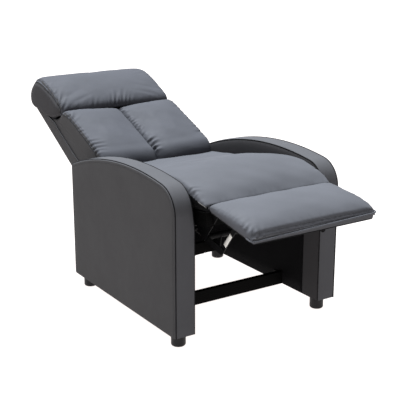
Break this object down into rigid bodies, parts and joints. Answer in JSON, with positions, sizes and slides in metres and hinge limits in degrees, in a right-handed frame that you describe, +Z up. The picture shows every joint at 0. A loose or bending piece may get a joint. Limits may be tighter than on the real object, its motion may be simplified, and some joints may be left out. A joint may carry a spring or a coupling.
{
  "type": "recliner chair",
  "caption": "Push-back recliner armchair in grey leather, shown reclined with a fold-down footrest; the back, gliding seat and footrest linkage move.",
  "frame": {"origin": "on the floor, at the centre of the reclined chair's length and width", "axes": "+Z up, the footrest points along -Y and the head end along +Y, +X to the right as seen from the front"},
  "size_m": [0.65, 1.5319, 0.7123],
  "materials": {
    "leather": "soft satin",
    "foot_plastic": "moulded",
    "steel_black": "satin black",
    "zinc_steel": "zinc plated",
    "timber": "sawn",
    "black_wood": "black painted",
    "webbing": "woven",
    "black_cloth": "woven",
    "nylon": "plain"
  },
  "bodies": {
    "base": {"left_arm_cover": "leather", "right_arm_cover": "leather", "left_arm_posts": "timber", "right_arm_posts": "timber", "left_arm_rails": "timber", "right_arm_rails": "timber", "left_base_rail": "steel_black", "right_base_rail": "steel_black", "feet": "foot_plastic", "foot_screws": "zinc_steel", "front_cross_rail": "black_wood", "rear_cross_rail": "black_wood", "rail_corners": "steel_black", "rail_screws": "zinc_steel", "base_rail_bolts": "zinc_steel"},
    "seat": {"left_seat_side_rail": "black_wood", "right_seat_side_rail": "black_wood", "left_seat_plate": "steel_black", "right_seat_plate": "steel_black", "left_link_plate": "steel_black", "right_link_plate": "steel_black", "seat_front_rail": "black_wood", "seat_rear_rail": "black_wood", "seat_webbing": "webbing", "seat_bolts": "zinc_steel", "glide_bushes": "nylon", "glide_axles": "zinc_steel", "recline_pins": "zinc_steel", "footrest_pins": "zinc_steel", "spring_rod": "steel_black", "seat_cushion": "leather", "seat_tail": "leather", "tension_springs": "steel_black", "spring_hooks": "steel_black"},
    "back": {"left_back_post": "timber", "right_back_post": "timber", "left_back_bracket": "steel_black", "right_back_bracket": "steel_black", "left_back_cushion": "leather", "right_back_cushion": "leather", "back_cross_rails": "timber", "back_webbing": "webbing", "back_bolts": "zinc_steel", "guide_pins": "zinc_steel", "head_pillow": "leather", "back_cover": "leather"},
    "rear_flap": {"rear_flap": "black_cloth"},
    "footrest": {"left_footrest_bracket": "steel_black", "right_footrest_bracket": "steel_black", "footrest_board": "leather", "footrest_pad": "leather", "footrest_screws": "zinc_steel", "footrest_rivets": "zinc_steel"},
    "drive": {"left_drive_link": "steel_black", "right_drive_link": "steel_black", "torque_tube": "steel_black", "drive_rivets": "zinc_steel"},
    "left_coupler": {"left_coupler": "steel_black"},
    "right_coupler": {"right_coupler": "steel_black"}
  },
  "joints": [
    {"name": "seat_glide", "type": "slide", "parent": "base", "child": "seat", "axis": [0, 1, 0], "range_m": [0, 0.07]},
    {"name": "back_recline", "type": "hinge", "parent": "seat", "child": "back", "pos_m": [0, 0.12492, 0.27094], "axis": [1, 0, 0], "range_deg": [0, 50], "deforming": ["seat_tail"]},
    {"name": "flap_hang", "type": "hinge", "parent": "back", "child": "rear_flap", "pos_m": [0, 0.206, 0.28903], "axis": [1, 0, 0], "range_deg": [-50.01, 0]},
    {"name": "footrest_fold", "type": "hinge", "parent": "seat", "child": "footrest", "pos_m": [0, -0.54208, 0.448], "axis": [1, 0, 0], "range_deg": [0, 80], "deforming": ["tension_springs", "spring_hooks"]},
    {"name": "drive_turn", "type": "hinge", "parent": "seat", "child": "drive", "pos_m": [0, -0.47008, 0.3546], "axis": [1, 0, 0], "range_deg": [0, 80.01]},
    {"name": "left_coupler_turn", "type": "hinge", "parent": "footrest", "child": "left_coupler", "pos_m": [0, -0.63308, 0.43], "axis": [1, 0, 0], "range_deg": [-80.01, 0]},
    {"name": "right_coupler_turn", "type": "hinge", "parent": "footrest", "child": "right_coupler", "pos_m": [0, -0.63308, 0.43], "axis": [1, 0, 0], "range_deg": [-80.01, 0]}
  ],
  "couplings": [
    {"joint": "seat_glide", "follows": "back_recline", "m_per_rad": 0.080214},
    {"joint": "flap_hang", "follows": "back_recline", "ratio": -1},
    {"joint": "drive_turn", "follows": "footrest_fold", "ratio": 1},
    {"joint": "left_coupler_turn", "follows": "footrest_fold", "ratio": -1},
    {"joint": "right_coupler_turn", "follows": "footrest_fold", "ratio": -1}
  ]
}
